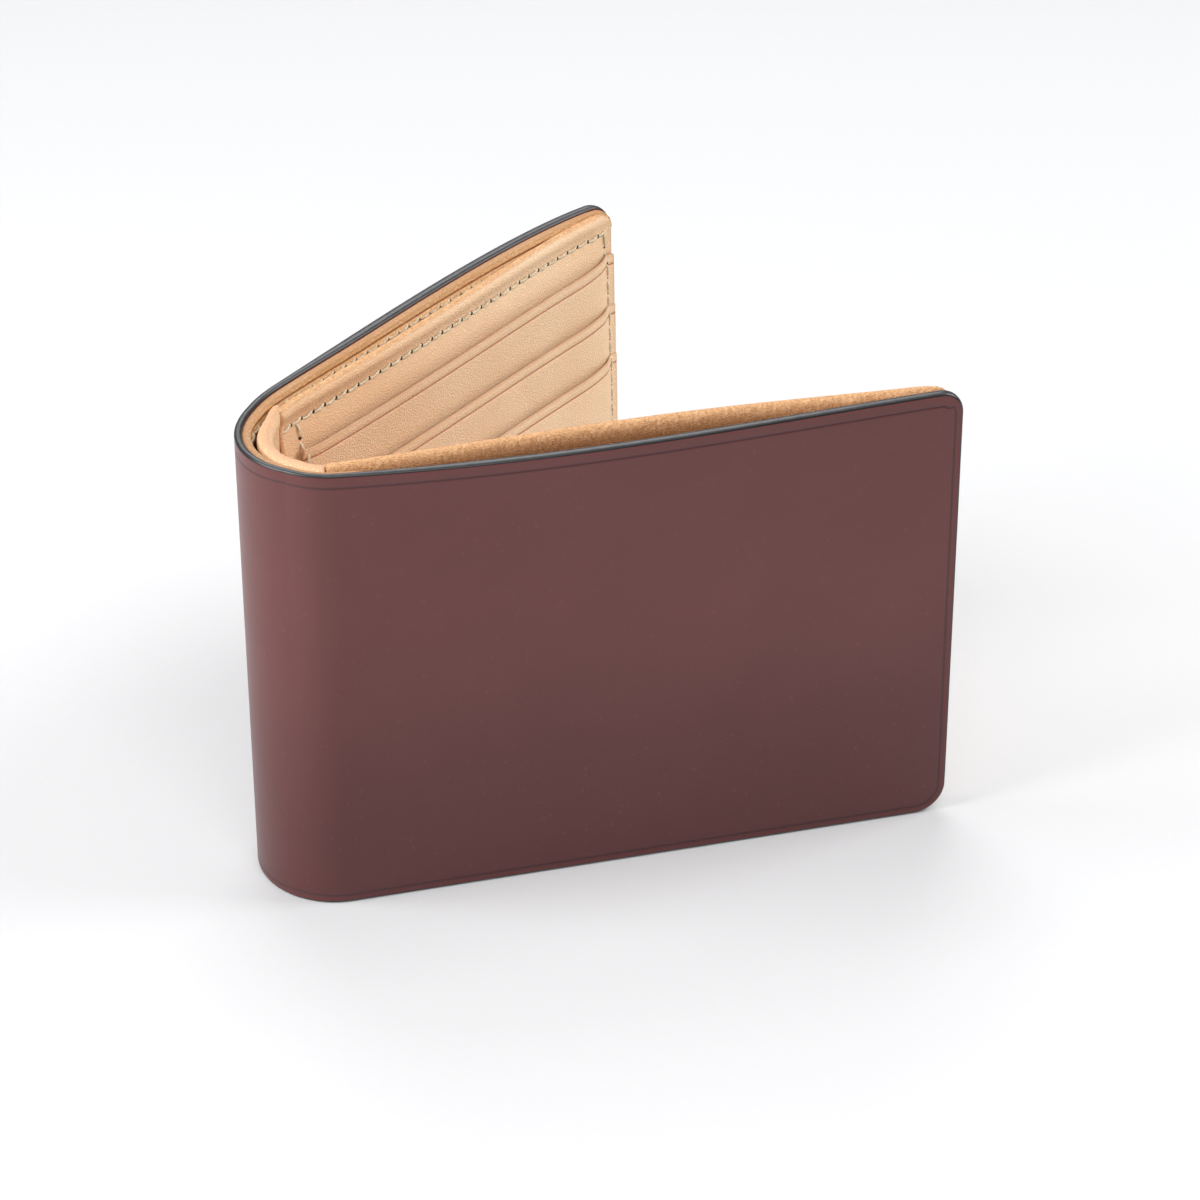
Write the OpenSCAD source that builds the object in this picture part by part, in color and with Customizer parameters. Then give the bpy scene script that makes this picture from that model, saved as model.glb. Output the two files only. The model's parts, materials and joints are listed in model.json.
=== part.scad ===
// Bifold wallet, stored standing on its lower edges with its two leaves partly open.
// Z is up and X runs from the spine towards the opening, midway between the leaves.
// The origin is the middle of the spine, on the plane it stands on.

/* [Cover] */
// Height of the cover leather
cover_h = 80; // [64:1:100]
// Length of the cover leather laid flat, from one free edge to the other
cover_l = 237.6; // [196:0.2:290]
// Thickness of the cover leather
cover_t = 1.9; // [1.4:0.1:2.4]
// Radius of the cover's upper corners
corner_high_r = 4; // [2:0.5:8]
// Radius of the cover's lower corners
corner_low_r = 5.5; // [2:0.5:8]

/* [Spine] */
// Length of cover leather that bends round the spine
spine_l = 42; // [34.8:0.6:51]
// How far the middle of the bend lies from the middle of the cover, towards the back leaf
spine_shift = 5.8; // [0:0.2:8]
// Angle between the two leaves in the stored pose
opening = 39; // [32:0.2:60]
// How much more the bend turns beside the front leaf than on average, as a share
spine_lean = 0.44; // [0:0.02:0.5]
// Gap between two strips of the spine at the outer face
strip_gap = 0.3; // [0.2:0.05:0.5]
// How much each side of a strip gap widens per millimetre of depth
gap_flare = 0.13; // [0.12:0.01:0.2]

/* [Lining and facing] */
// Thickness of the lining glued inside the cover
lining_t = 0.4; // [0.3:0.1:0.7]
// Thickness of the facing strip along the top of the lining
facing_t = 0.6; // [0.4:0.1:1]
// Height of the facing strip
facing_h = 4; // [3:0.5:12]
// Distance of lining and facing from the cover's edges
lining_inset = 0.5; // [0.2:0.1:1.5]

/* [Inside panels] */
// Clearance of the note compartment between facing and backing
note_gap = 0.3; // [0.3:0.1:1.5]
// Thickness of the backing behind each inside panel
backing_t = 0.6; // [0.4:0.1:1.2]
// Thickness of each inside panel
panel_t = 0.7; // [0.5:0.1:1.4]
// Distance of the panels' upper edge below the cover's
panel_drop = 0.8; // [0.4:0.1:4]
// Distance of the backing's upper edge below the panel's
backing_drop = 0.3; // [0.1:0.1:3]
// Distance of the panels from the cover's free edge
panel_inset = 1.8; // [0.6:0.1:3]
// Height of the panels' lower edge above the plane the wallet stands on
panel_rise = 1; // [0.4:0.1:2]
// Start of the front panel, measured from the end of the bend
panel_front_start = 0; // [0:0.2:3]
// Start of the back panel, measured from the end of the bend
panel_back_start = -2; // [-2.2:0.2:2]

/* [Card pockets] */
// Number of card pockets on each leaf
pockets = 3; // [3]
// Thickness of a card pocket's leather
pocket_t = 0.35; // [0.2:0.05:0.7]
// Distance of the first pocket's mouth below the panel's upper edge
first_mouth = 8.3; // [7:0.1:14]
// Distance from one mouth to the next
mouth_pitch = 9.7; // [8:0.1:14]

/* [Hinge band] */
// Thickness of the band that joins the two inside panels round the spine
band_t = 2.2; // [1.2:0.1:2.4]
// Clearance between the facing and the band
band_gap = 0.7; // [0.5:0.1:1.2]
// Clearance between the band's ends and the panels
band_end_gap = 0.4; // [0.3:0.1:0.8]
// Distance of the band's upper edge below the cover's
band_drop = 0.7; // [0.3:0.1:3]

/* [Stitching] */
// Width of a row of stitches
stitch_w = 0.5; // [0.3:0.1:0.8]
// Distance of the top row below the panel's upper edge
top_row_drop = 4; // [2.5:0.5:6]
// Distance of the free edge's row from the panel's free edge
edge_row_inset = 1.8; // [1.2:0.1:4]
// Distance of the spine end's row from the panel's spine end
spine_row_inset = 3; // [1.5:0.5:6]
// Distance of the facing's row above its lower edge
facing_row_rise = 0.9; // [0.8:0.1:3]

/* [Hidden] */

// The bend is a row of equal lengths of arc, each turning about a hinge line on the
// cover's outer face. Between two hinge lines lies one strip of the spine.
bends = 6;
strips = bends - 1;
bend_l = spine_l / bends;
arc_steps = 6;
leaf_front_l = (cover_l - spine_l) / 2 + spine_shift;
leaf_back_l = (cover_l - spine_l) / 2 - spine_shift;
leaf_front_heading = -opening / 2;
leaf_back_heading = opening / 2;

// Depths from the cover's outer face, inwards
lining_in = cover_t + lining_t;
facing_in = cover_t + facing_t;
backing_out = facing_in + note_gap;
backing_in = backing_out + backing_t;
panel_in = backing_in + panel_t;
band_out = facing_in + band_gap;
band_in = band_out + band_t;

// Heights above the plane the wallet stands on
facing_low = cover_h - lining_inset - facing_h;
panel_top = cover_h - panel_drop;
panel_high_r = corner_high_r - panel_drop;
top_row = panel_top - top_row_drop;
row_end_rise = 3;
row_proud = 0.2;
step_proud = pocket_t + 0.05;
joint_slit = 0.1;
round_fn = 64;
cut_over = 2;

cover_color = [0.42, 0.26, 0.24];
lining_color = [0.50, 0.33, 0.19];
facing_color = [0.84, 0.60, 0.38];
suede_color = [0.78, 0.55, 0.36];
pale_color = [0.93, 0.77, 0.60];
thread_color = [0.87, 0.80, 0.66];

// ---- The curve of the cover's outer face, seen from above ----
// s runs along the leather: 0 where the front leaf starts to bend, spine_l where the
// back leaf is straight again. d is a depth inwards from the outer face.

function toward(angle) = [cos(angle), sin(angle)];
function bend_turn(i) = (180 - opening) / bends * (1 + spine_lean * (1 - 2 * i / (bends - 1)));
function bend_r(i) = bend_l * 180 / (PI * bend_turn(i));
function bend_heading(i) =
  i == 0 ? 180 + leaf_front_heading : bend_heading(i - 1) - bend_turn(i - 1);
function arc_point(i, share) =
  bend_start(i)
  + 2 * bend_r(i) * sin(share * bend_turn(i) / 2) * toward(bend_heading(i) - share * bend_turn(i) / 2);
function bend_start(i) = i == 0 ? [0, 0] : arc_point(i - 1, 1);
function bend_at(s) = max(0, min(bends - 1, floor(s / bend_l)));
function heading(s) =
  s <= 0 ? bend_heading(0)
  : s >= spine_l ? bend_heading(bends)
  : bend_heading(bend_at(s)) - (s / bend_l - bend_at(s)) * bend_turn(bend_at(s));
function outer_point(s) =
  s <= 0 ? s * toward(bend_heading(0))
  : s >= spine_l ? bend_start(bends) + (s - spine_l) * toward(bend_heading(bends))
  : arc_point(bend_at(s), s / bend_l - bend_at(s));
function raw_point(s, d) = outer_point(s) + d * toward(heading(s) - 90);
home = raw_point(spine_l / 2, cover_t / 2);
function cover_point(s, d) = raw_point(s, d) - home;

function stations(a, b) = concat(
  [a],
  [for (k = [0 : bends * arc_steps]) let (s = k * bend_l / arc_steps) if (s > a + 0.05 && s < b - 0.05) s],
  [b]
);
// Plan of a layer from s0 to s1 and from depth d0 to d1. Each end may lean away from
// its gap: the flare is the length given up per millimetre of depth.
function layer_plan(s0, s1, d0, d1, flare0, flare1) =
  let (outer = stations(s0 + flare0 * d0, s1 - flare1 * d0))
  let (inner = stations(s0 + flare0 * d1, s1 - flare1 * d1))
  concat(
    [for (s = outer) cover_point(s, d0)],
    [for (k = [len(inner) - 1 : -1 : 0]) cover_point(inner[k], d1)]
  );
function strip_start(i) = (i - 0.5) * bend_l + strip_gap / 2;
function strip_end(i) = (i + 0.5) * bend_l - strip_gap / 2;
function mouth(k) = panel_top - first_mouth - (k - 1) * mouth_pitch;
function pocket_in(k) = panel_in + k * pocket_t;
function leaf_l(front) = front ? leaf_front_l : leaf_back_l;
function panel_start(front) = front ? panel_front_start : panel_back_start;

// ---- Helpers ----

// Puts a leaf's own frame in place: X along the leaf to its free edge, Y inwards from
// the cover's outer face, Z up.
module leaf(front) {
  if (front)
    translate(cover_point(0, 0)) rotate([0, 0, leaf_front_heading]) children();
  else
    translate(cover_point(spine_l, 0)) rotate([0, 0, leaf_back_heading]) mirror([0, 1, 0]) children();
}

// Extrudes an outline drawn along a leaf (across, up) from depth d0 to d1
module through(d0, d1) {
  translate([0, d1, 0]) rotate([90, 0, 0]) linear_extrude(d1 - d0) children();
}

// What a rounded corner at (u, z) takes away; lift is 1 at a lower corner, -1 at an upper one
module corner_waste(u, z, r, lift) {
  translate([u - r, z + lift * r]) difference() {
    mirror([0, lift > 0 ? 1 : 0]) square([r + cut_over, r + cut_over]);
    circle(r, $fn = round_fn);
  }
}

// An outline on a leaf, as (across, up), with its free corners rounded
module leaf_outline(u0, u1, z0, z1, r_low, r_high) {
  difference() {
    translate([u0, z0]) square([u1 - u0, z1 - z0]);
    if (r_low > 0) corner_waste(u1, z0, r_low, 1);
    if (r_high > 0) corner_waste(u1, z1, r_high, -1);
  }
}

// A layer of a leaf that takes in its half of the nearest bend
module leaf_layer(front, inset, z0, z1, d0, d1, r_low, r_high) {
  u_end = leaf_l(front) - inset;
  half_bend = (bend_l - strip_gap) / 2;
  intersection() {
    translate([0, 0, z0 - cut_over]) linear_extrude(z1 - z0 + 2 * cut_over)
      polygon(front
        ? layer_plan(-u_end - cut_over, half_bend, d0, d1, 0, gap_flare)
        : layer_plan(spine_l - half_bend, spine_l + u_end + cut_over, d0, d1, gap_flare, 0));
    leaf(front) through(d0 - cut_over, d1 + cut_over)
      leaf_outline(-bend_l, u_end, z0, z1, r_low, r_high);
  }
}

// A layer of one strip of the spine
module strip_layer(i, z0, z1, d0, d1) {
  translate([0, 0, z0]) linear_extrude(z1 - z0)
    polygon(layer_plan(strip_start(i), strip_end(i), d0, d1, gap_flare, gap_flare));
}

// A flat sheet on a leaf from the panel's spine end to its free edge
module leaf_sheet(front, z1, d0, d1, r_high) {
  leaf(front) through(d0, d1)
    leaf_outline(panel_start(front), leaf_l(front) - panel_inset, panel_rise, z1,
      corner_low_r - panel_rise, r_high);
}

// A row of stitches up a leaf at distance u, stepping over the pocket mouths
module upright_row(front, u) {
  leaf(front) for (k = [0 : pockets]) {
    top = k == 0 ? top_row - stitch_w : mouth(k);
    low = k == pockets ? panel_rise + row_end_rise : mouth(k + 1);
    translate([u - stitch_w / 2, pocket_in(k), low]) cube([stitch_w, step_proud, top - low]);
  }
}

// ---- Cover ----

module cover_leaf(front) {
  color(cover_color)
    leaf_layer(front, 0, 0, cover_h, 0, cover_t, corner_low_r, corner_high_r);
}
module cover_spine(i) {
  color(cover_color) strip_layer(i, 0, cover_h, 0, cover_t);
}

// ---- Lining and facing ----

module lining_leaf(front) {
  color(lining_color)
    leaf_layer(front, lining_inset, lining_inset, facing_low - joint_slit, cover_t, lining_in,
      corner_low_r - lining_inset, 0);
}
module lining_spine(i) {
  color(lining_color) strip_layer(i, lining_inset, facing_low - joint_slit, cover_t, lining_in);
}
module facing_leaf(front) {
  color(facing_color)
    leaf_layer(front, lining_inset, facing_low, cover_h - lining_inset, cover_t, facing_in,
      0, corner_high_r - lining_inset);
}
module facing_spine(i) {
  color(facing_color) strip_layer(i, facing_low, cover_h - lining_inset, cover_t, facing_in);
}

// ---- Inside ----

module hinge_band() {
  color(facing_color)
    translate([0, 0, panel_rise]) linear_extrude(cover_h - band_drop - panel_rise)
      polygon(layer_plan(-panel_front_start + band_end_gap,
        spine_l + panel_back_start - band_end_gap, band_out, band_in, gap_flare, gap_flare));
}
module backing(front) {
  color(suede_color)
    leaf_sheet(front, panel_top - backing_drop, backing_out, backing_in, panel_high_r);
}
module panel(front) {
  color(pale_color)
    leaf_sheet(front, panel_top, backing_in, panel_in, panel_high_r);
}
module pocket(front, k) {
  color(pale_color) leaf_sheet(front, mouth(k), pocket_in(k - 1), pocket_in(k), 0);
}

// ---- Stitching ----

module top_stitch(front) {
  from = panel_start(front) + spine_row_inset;
  to = leaf_l(front) - panel_inset - edge_row_inset;
  color(thread_color)
    leaf(front) translate([from, panel_in, top_row]) cube([to - from, row_proud, stitch_w]);
}
module edge_stitch(front) {
  color(thread_color) upright_row(front, leaf_l(front) - panel_inset - edge_row_inset);
}
module spine_stitch(front) {
  color(thread_color) upright_row(front, panel_start(front) + spine_row_inset);
}
module facing_stitch(front) {
  color(thread_color)
    leaf(front) translate([corner_high_r, facing_in, facing_low + facing_row_rise])
      cube([leaf_l(front) - 2 * corner_high_r, row_proud, stitch_w]);
}

cover_leaf(true);  // cover_front
cover_leaf(false);  // cover_back
lining_leaf(true);  // lining_front
lining_leaf(false);  // lining_back
facing_leaf(true);  // facing_front
facing_leaf(false);  // facing_back
for (i = [1 : strips]) {
  cover_spine(i);
  lining_spine(i);
  facing_spine(i);
}
hinge_band();
backing(true);  // backing_front
backing(false);  // backing_back
panel(true);  // panel_front
panel(false);  // panel_back
for (k = [1 : pockets]) {
  pocket(true, k);
  pocket(false, k);
}
top_stitch(true);  // top_stitch_front
top_stitch(false);  // top_stitch_back
edge_stitch(true);  // edge_stitch_front
edge_stitch(false);  // edge_stitch_back
spine_stitch(true);  // spine_stitch_front
spine_stitch(false);  // spine_stitch_back
facing_stitch(true);  // facing_stitch_front
facing_stitch(false);  // facing_stitch_back
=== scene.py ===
# %% [markdown]
# A bifold wallet, standing partly open on its lower edges. It is cut and sewn from flat
# leather, so nearly every piece here is a thin skin with two faces: the cover, the lining,
# the facing strip, the inside panels, the card pockets and the band that joins the panels.
# One helper makes such a skin from a grid, and one curve says how the leather bends. A solid
# thickened by a modifier would be quicker, but its edges would all be alike, and here each
# edge has its own finish: painted, turned over, or cut raw.

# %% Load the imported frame
import json
import math
import bmesh
import bpy
import numpy as np
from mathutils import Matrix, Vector


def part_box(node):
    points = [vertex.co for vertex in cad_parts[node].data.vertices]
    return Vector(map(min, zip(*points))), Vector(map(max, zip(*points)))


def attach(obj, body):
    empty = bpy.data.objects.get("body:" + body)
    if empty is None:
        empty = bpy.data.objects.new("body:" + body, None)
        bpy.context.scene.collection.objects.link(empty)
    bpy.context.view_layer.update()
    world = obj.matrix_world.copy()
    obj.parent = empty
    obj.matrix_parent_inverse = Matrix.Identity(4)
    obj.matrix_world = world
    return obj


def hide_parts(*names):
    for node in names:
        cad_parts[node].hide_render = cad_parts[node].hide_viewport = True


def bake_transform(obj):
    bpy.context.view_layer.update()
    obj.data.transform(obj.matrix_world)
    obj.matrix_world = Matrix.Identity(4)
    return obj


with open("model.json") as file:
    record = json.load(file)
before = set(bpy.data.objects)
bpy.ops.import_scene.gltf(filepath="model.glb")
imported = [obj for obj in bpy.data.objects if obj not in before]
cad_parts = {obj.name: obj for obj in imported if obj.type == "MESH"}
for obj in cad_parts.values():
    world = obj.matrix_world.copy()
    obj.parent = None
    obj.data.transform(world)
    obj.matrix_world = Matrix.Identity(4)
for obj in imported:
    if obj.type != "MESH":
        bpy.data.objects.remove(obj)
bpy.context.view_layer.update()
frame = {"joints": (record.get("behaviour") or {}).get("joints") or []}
MM = 0.001

# %% [markdown]
# The spine bends at six hinge lines on the cover's outer face. Each lies in the middle of a
# bend, and all bends take the same length of leather. How far each one turns is its opening
# limit, because the wallet opens until the cover is flat. From the hinge lines and the turns
# we get the curve back: a chain of six arcs with a straight leaf at each end.

# %% The curve of the cover, seen from above
turns = np.radians([j["range_deg"][1] for j in frame["joints"]])
hinges = np.array([j["pos_m"][:2] for j in frame["joints"]])
bends = len(turns)


def toward(angle):
    return np.stack([np.cos(angle), np.sin(angle)], -1)


headings = math.pi / 2 + turns.sum() / 2 - np.concatenate([[0], np.cumsum(turns)[:-1]])
half_chord = 2 * np.sin(turns / 4) / turns
pair = (half_chord[0] * toward(headings[0] - 3 * turns[0] / 4)
        + half_chord[1] * toward(headings[1] - turns[1] / 4))
bend_l = np.linalg.norm(hinges[1] - hinges[0]) / np.linalg.norm(pair)
spine_l = bends * bend_l
radii = bend_l / turns
starts = [hinges[0] - bend_l * half_chord[0] * toward(headings[0] - turns[0] / 4)]
for i in range(bends):
    starts.append(starts[i] + 2 * radii[i] * math.sin(turns[i] / 2)
                  * toward(headings[i] - turns[i] / 2))
starts = np.array(starts)


def along(s):
    """Point and heading at distance s along the cover's outer face."""
    s = np.asarray(s, float)
    k = np.clip(np.floor(s / bend_l), 0, bends - 1).astype(int)
    angle = np.clip(s / bend_l - k, 0, 1) * turns[k]
    point = starts[k] + (2 * radii[k] * np.sin(angle / 2))[..., None] * toward(headings[k] - angle / 2)
    heading = headings[k] - angle
    point = point + (s - np.clip(s, 0, spine_l))[..., None] * toward(heading)
    return point, heading


print("bend length, mm:", round(bend_l / MM, 3), "opening:", round(180 - math.degrees(turns.sum()), 2))

# %% [markdown]
# The leaves' lengths and the layers' depths come from the CAD boxes. A leaf is a straight
# plate turned by half the opening, so the corners of its box give two equations.

# %% Sizes of the leaves
lean_angle = (math.pi - turns.sum()) / 2
cos_a, sin_a = math.cos(lean_angle), math.sin(lean_angle)
leaf_start = {"front": starts[0], "back": starts[-1]}
side_sign = {"front": -1, "back": 1}


def leaf_end(node, side, depth0):
    """Distance of a layer's free end along a leaf, and its inner depth."""
    low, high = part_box(node)
    x0, y0 = leaf_start[side]
    far_y = (y0 - low.y) if side == "front" else (high.y - y0)
    length = (far_y + depth0 * cos_a) / sin_a
    return length, (high.x - x0 - length * cos_a) / sin_a


def plate(node, side):
    """A flat plate on a leaf: distances u0, u1 along it and depths d0, d1."""
    low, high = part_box(node)
    x0, y0 = leaf_start[side]
    ys = (y0 - low.y, y0 - high.y) if side == "front" else (high.y - y0, low.y - y0)
    rows = [[cos_a, 0, sin_a, 0], [0, cos_a, 0, sin_a], [0, sin_a, -cos_a, 0], [sin_a, 0, 0, -cos_a]]
    values = [low.x - x0, high.x - x0, ys[0], ys[1]]
    u0, u1, d0, d1 = np.linalg.solve(rows, values)
    return u0, u1, d0, d1, low.z, high.z


leaf_l, cover_t = {}, 0
for side in leaf_start:
    leaf_l[side], cover_t = leaf_end(f"cover_{side}", side, 0)
cover_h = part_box("cover_front")[1].z
lining_low, lining_high = (v.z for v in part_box("lining_front"))
facing_low, facing_high = (v.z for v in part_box("facing_front"))
lining_end, lining_in = leaf_end("lining_front", "front", cover_t)
facing_in = leaf_end("facing_front", "front", cover_t)[1]
inset = leaf_l["front"] - lining_end
panel_plate = {side: plate(f"panel_{side}", side) for side in leaf_start}
backing_plate = {side: plate(f"backing_{side}", side) for side in leaf_start}
mouths = [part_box(f"pocket_front_{k}")[1].z for k in (1, 2, 3)]
pocket_depths = [plate(f"pocket_front_{k}", "front")[2:4] for k in (1, 2, 3)]
print("leaves, mm:", {k: round(v / MM, 2) for k, v in leaf_l.items()}, "cover", round(cover_t / MM, 2))
print("panel front, mm:", [round(float(v) / MM, 2) for v in panel_plate["front"]])
print("panel back, mm:", [round(float(v) / MM, 2) for v in panel_plate["back"]])
print("depths, mm:", [round(float(v) / MM, 2) for v in (lining_in, facing_in, *np.ravel(pocket_depths))])

# %% [markdown]
# Leather that stands open doesn't stay flat: the top edge of each leaf bows outwards between
# the stiff bend and the stitched free end, and the bow fades towards the standing edge. The
# cover is pared thinner round the spine, because full thickness wouldn't take so tight a
# bend. The inside panels are held only by their stitches and the band, so their upper part
# leans on its own: towards the cover along the outer half of the back leaf, and away from
# it in the middle of the front leaf. All this could be sculpted by hand, but functions of
# distance and height keep the layers in order, because each layer asks the same ones.

# %% Bow of the leaves, pared spine, lean of the panels
run_in = 8 * MM                 # the bow starts this far before the leaf does
bow_front, bow_back = 3.9 * MM, 3.68 * MM
pare_reach, pare_depth = 26 * MM, 0.55 * MM
print("bow, mm:", round(bow_front / MM, 2), round(bow_back / MM, 2), "pared by", round(pare_depth / MM, 2))


def smooth(t):
    """0 below 0, 1 above 1, and an even S between them."""
    t = np.clip(t, 0, 1)
    return t * t * (3 - 2 * t)


def rise(z):
    """Share of a bow at height z: all of it at the top, none where the leather stands."""
    return np.clip(z / cover_h, 0, 1) ** 1.6


def cover_bow(s, z):
    """How far the leather at s and z stands out from its straight leaf."""
    s, z = np.broadcast_arrays(s, z)
    length = leaf_l["front"]
    t = np.clip((run_in - s) / (length + run_in), 0, 1)
    front = bow_front * np.sin(math.pi * t**0.744).clip(0) ** 1.25
    length = leaf_l["back"]
    t = np.clip((length - (s - spine_l)) / (length + run_in), 0, 1)
    back = bow_back * np.sin(math.pi * t**0.6).clip(0)
    return np.where(s < spine_l / 2, front, back) * rise(z)


def pared(s, depth):
    """Depth of a layer, less what has been pared from the cover under it."""
    near_spine = (smooth((s + pare_reach) / pare_reach)
                  * smooth((spine_l + pare_reach - s) / pare_reach))
    return depth - pare_depth * near_spine * np.clip(depth / cover_t, 0, 1)


def panel_lean(side, u, z):
    """How far a panel's upper part leans towards the cover; below 0 it leans away."""
    length = leaf_l[side]
    t = np.clip(u / length, 0, 1)
    if side == "back":
        lean = (3.7 * MM * np.sin(math.pi * (1 - t) ** 0.6) * t**2
                - 0.85 * MM * (1 - smooth(u / (60 * MM))))
    else:
        lean = (0.1 * MM * smooth((length - u) / (14 * MM))
                - 2.1 * MM * np.sin(math.pi * t**1.1).clip(0) ** 1.5)
    return lean * rise(z)


def round_spine(s, depth, z):
    """Points of a layer that follows the cover."""
    point, heading = along(s)
    d = pared(s, depth) - cover_bow(s, z)
    xy = point + d[..., None] * toward(heading - math.pi / 2)
    return np.concatenate([xy, z[..., None]], -1)


def on_leaf(side):
    """A function that puts points of a leaf's own straight plane in place."""
    def put(u, depth, z):
        x0, y0 = leaf_start[side]
        x = x0 + u * cos_a + depth * sin_a
        y = y0 + side_sign[side] * (u * sin_a - depth * cos_a)
        return np.stack(np.broadcast_arrays(x, y, z), -1)
    return put


# %% [markdown]
# A skin is made from two grids, one for each face, that meet round the outline. Rows close
# to the outline follow a half-round profile, so the edge is domed as on a burnished edge.
# At a rounded corner the grid's square rings are bent into round ones, which keeps every
# face a clean quad. Numbers that a finish needs, such as the distance from the edge, are
# written on the points as attributes. The rows are listed one by one and lie close together
# only where an edge or a crease turns, because even rows that fine would make a huge mesh.

# %% Rows, round corners and skins
EDGE_ROWS = np.array([0, 0.02, 0.07, 0.14, 0.23, 0.34, 0.5, 0.6, 0.8, 1.05, 1.2, 1.3, 1.38, 1.44, 1.5,
                      1.56, 1.62, 1.7, 1.8, 1.95, 2.08, 2.18, 2.24, 2.3, 2.36, 2.42, 2.52, 2.7, 3.1,
                      3.8, 4.7]) * MM
THIN_ROWS = np.array([0, 0.015, 0.05, 0.1, 0.16, 0.24, 0.4, 0.8, 1.5, 2.5]) * MM
CUT_ROWS = np.array([0, 0.04]) * MM


def rows_between(low, high, first, last, pitch):
    """Distances from low to high: given rows at each end and even ones between."""
    a, b = low + first, (high - last)[::-1]
    count = max(1, int(math.ceil((b[0] - a[-1]) / pitch)))
    middle = np.linspace(a[-1], b[0], count + 1)[1:-1]
    return np.concatenate([a, middle, b])


def round_corner(a, b, r):
    """Bends the square rings at a corner round. a and b are distances from its two sides."""
    if r <= 0:
        return a, b
    inside = (a < r) & (b < r)
    ring = r - np.minimum(a, b)
    swing = math.pi / 4 * (r - np.maximum(a, b)) / np.where(inside & (ring > 0), ring, 1)
    near, far = r - ring * np.cos(swing), r - ring * np.sin(swing)
    return (np.where(inside, np.where(a <= b, near, far), a),
            np.where(inside, np.where(a <= b, far, near), b))


def dome(e, r):
    """0 at the outline to 1 at distance r from it, on a quarter circle."""
    return np.sqrt(1 - (1 - np.clip(e / r, 0, 1)) ** 2)


def skin(name, near, far, marks=None, sharp=40):
    """A closed mesh from two grids of points, with the marks as attributes on both."""
    n, m = near.shape[:2]
    mesh = bpy.data.meshes.new(name)
    index = np.arange(n * m).reshape(n, m)
    quads = np.stack([index[:-1, :-1], index[1:, :-1], index[1:, 1:], index[:-1, 1:]], -1).reshape(-1, 4)
    ring = np.concatenate([index[:, 0], index[-1, 1:], index[-2::-1, -1], index[0, -2:0:-1]])
    after = np.roll(ring, -1)
    walls = np.stack([ring, after, after + n * m, ring + n * m], -1)
    faces = np.concatenate([quads, quads[:, ::-1] + n * m, walls])
    points = np.concatenate([near.reshape(-1, 3), far.reshape(-1, 3)])
    mesh.from_pydata(points.tolist(), [], faces.tolist())
    for mark, values in (marks or {}).items():
        both = values if isinstance(values, tuple) else (values, values)
        attribute = mesh.attributes.new(mark, "FLOAT", "POINT")
        flat = np.concatenate([np.broadcast_to(v, (n, m)).ravel() for v in both])
        attribute.data.foreach_set("value", flat.astype(np.float32))
    work = bmesh.new()
    work.from_mesh(mesh)
    bmesh.ops.remove_doubles(work, verts=work.verts, dist=2e-6)
    bmesh.ops.recalc_face_normals(work, faces=work.faces)
    for f in work.faces:
        f.smooth = True
    work.to_mesh(mesh)
    work.free()
    mesh.set_sharp_from_angle(angle=math.radians(sharp))
    piece = bpy.data.objects.new(name, mesh)
    bpy.context.scene.collection.objects.link(piece)
    return piece


# %% [markdown]
# Finishes are node trees. Shader maths is easier to read as Python, so a small class wraps
# a socket and turns + - * into Math nodes. Every node, here and in the stitch tree, is made
# by one function that takes its type, its settings and what its sockets get.

# %% Nodes and shader maths
class Wire:
    """A node socket that can be used in arithmetic."""

    def __init__(self, tree, socket):
        self.tree, self.socket = tree, socket

    def math(self, operation, *others):
        values = {f"_{i}": value for i, value in enumerate((self, *others))}
        node = add_node(self.tree, "ShaderNodeMath", {"operation": operation}, **values)
        return Wire(self.tree, node.outputs[0])

    def __add__(self, other): return self.math("ADD", other)
    def __radd__(self, other): return self.math("ADD", other)
    def __mul__(self, other): return self.math("MULTIPLY", other)
    def __rmul__(self, other): return self.math("MULTIPLY", other)
    def __sub__(self, other): return self.math("SUBTRACT", other)
    def __rsub__(self, other): return (self * -1) + other

    def step(self, start, end):
        """0 before start, 1 after end, smooth between."""
        node = add_node(self.tree, "ShaderNodeMapRange", {"interpolation_type": "SMOOTHSTEP"},
                        Value=self, From_Min=start, From_Max=end)
        return Wire(self.tree, node.outputs["Result"])

    def line(self, place, width):
        """1 on a line at that value, fading to 0 at width on either side."""
        return 1 - (self - place).math("ABSOLUTE").step(0.25 * width, width)


def feed(tree, socket, value):
    """Links a wire or a socket to a socket, or sets its value; a colour gets its alpha."""
    if isinstance(value, Wire):
        value = value.socket
    if isinstance(value, bpy.types.NodeSocket):
        tree.links.new(value, socket)
        return
    is_colour = socket.type == "RGBA" and len(value) == 3
    socket.default_value = (*value, 1) if is_colour else value


def add_node(tree, kind, settings=None, **values):
    """A new node. A key is a socket's name, with _ for a space, or its number, as in _0."""
    node = tree.nodes.new(kind)
    for key, value in (settings or {}).items():
        setattr(node, key, value)
    for key, value in values.items():
        socket = node.inputs[int(key[1:]) if key[0] == "_" else key.replace("_", " ")]
        feed(tree, socket, value)
    return node


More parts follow.
